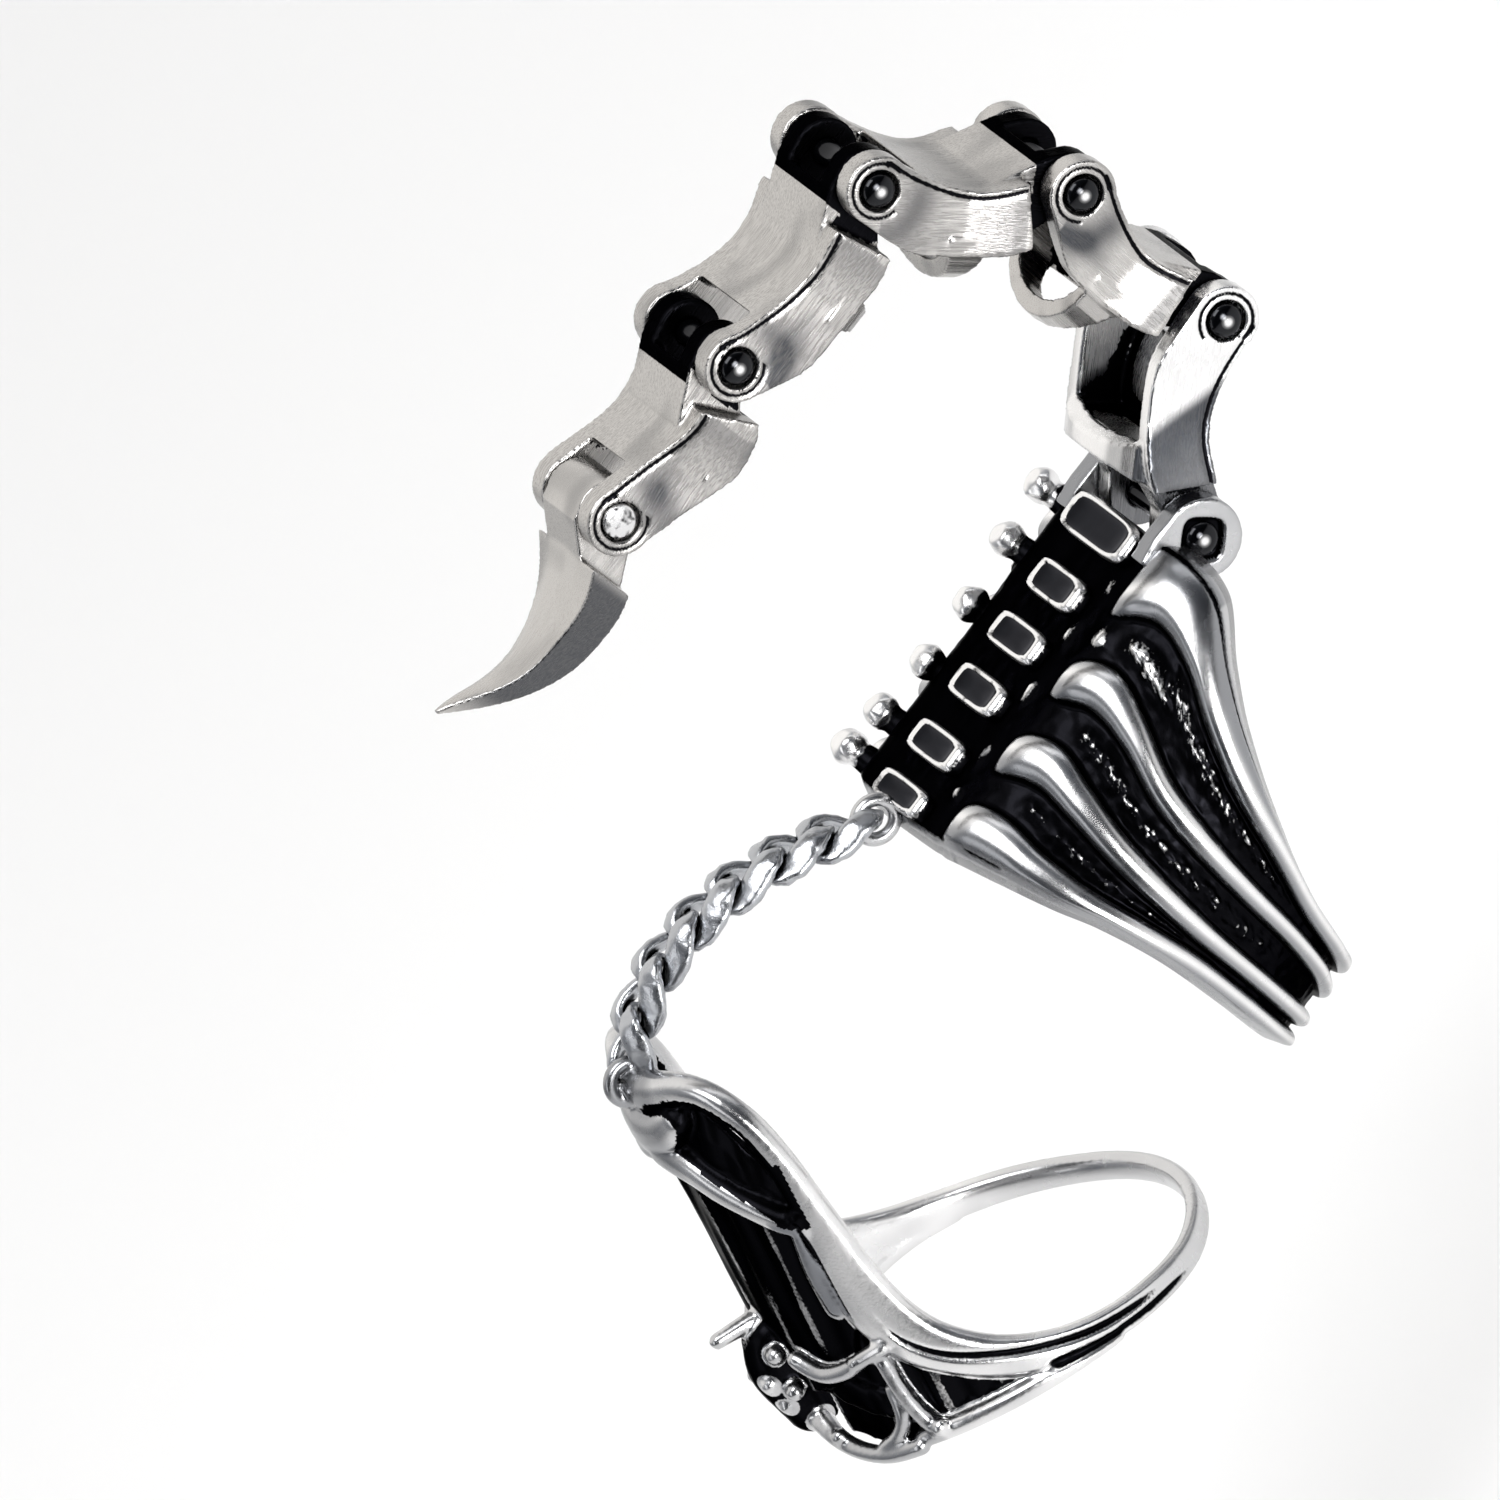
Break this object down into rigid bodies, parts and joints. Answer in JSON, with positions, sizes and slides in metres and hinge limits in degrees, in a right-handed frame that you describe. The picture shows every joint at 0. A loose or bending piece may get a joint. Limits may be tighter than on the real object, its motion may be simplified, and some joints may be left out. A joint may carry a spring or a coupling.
{
  "type": "adjustable ring",
  "caption": "Open finger ring with a jointed, curled scorpion tail and a chain to a pierced lower ring for the next finger joint.",
  "frame": {"origin": "centre of the upper ring, on the axis of the finger that it sits on", "axes": "+X along the finger's axis towards the hand, +Z out of the back of the finger, Y across it"},
  "size_m": [0.0544, 0.023, 0.0478],
  "materials": {
    "polished_metal": "polished, with blackened recesses",
    "brushed_metal": "brushed, with blackened seams",
    "chain_metal": "polished, worn",
    "dark_metal": "blackened and polished"
  },
  "bodies": {
    "rings": {"upper_ring": "polished_metal", "rivet_0": "dark_metal", "chain": "chain_metal", "lower_ring": "polished_metal"},
    "link_1": {"tail_link_1": "brushed_metal", "rivet_1": "dark_metal"},
    "link_2": {"tail_link_2": "brushed_metal", "rivet_2": "dark_metal"},
    "link_3": {"tail_link_3": "brushed_metal", "rivet_3": "dark_metal"},
    "link_4": {"tail_link_4": "brushed_metal", "rivet_4": "dark_metal"},
    "link_5": {"tail_link_5": "brushed_metal", "rivet_5": "dark_metal"},
    "sting": {"sting": "brushed_metal"}
  },
  "joints": [
    {"name": "base_pivot", "type": "hinge", "parent": "rings", "child": "link_1", "pos_m": [0.00956, 0, 0.0093], "axis": [0, -1, 0], "range_deg": [-33, 3]},
    {"name": "second_pivot", "type": "hinge", "parent": "link_1", "child": "link_2", "pos_m": [0.01815, 0, 0.01499], "axis": [0, -1, 0], "range_deg": [-45, 6]},
    {"name": "third_pivot", "type": "hinge", "parent": "link_2", "child": "link_3", "pos_m": [0.01883, 0, 0.02471], "axis": [0, -1, 0], "range_deg": [-36, 6]},
    {"name": "fourth_pivot", "type": "hinge", "parent": "link_3", "child": "link_4", "pos_m": [0.01341, 0, 0.03309], "axis": [0, -1, 0], "range_deg": [-45, 4]},
    {"name": "fifth_pivot", "type": "hinge", "parent": "link_4", "child": "link_5", "pos_m": [0.00311, 0, 0.03329], "axis": [0, -1, 0], "range_deg": [-25, 8]},
    {"name": "sting_pivot", "type": "hinge", "parent": "link_5", "child": "sting", "pos_m": [-0.00568, 0, 0.03286], "axis": [0, -1, 0], "range_deg": [-30, 10]}
  ]
}
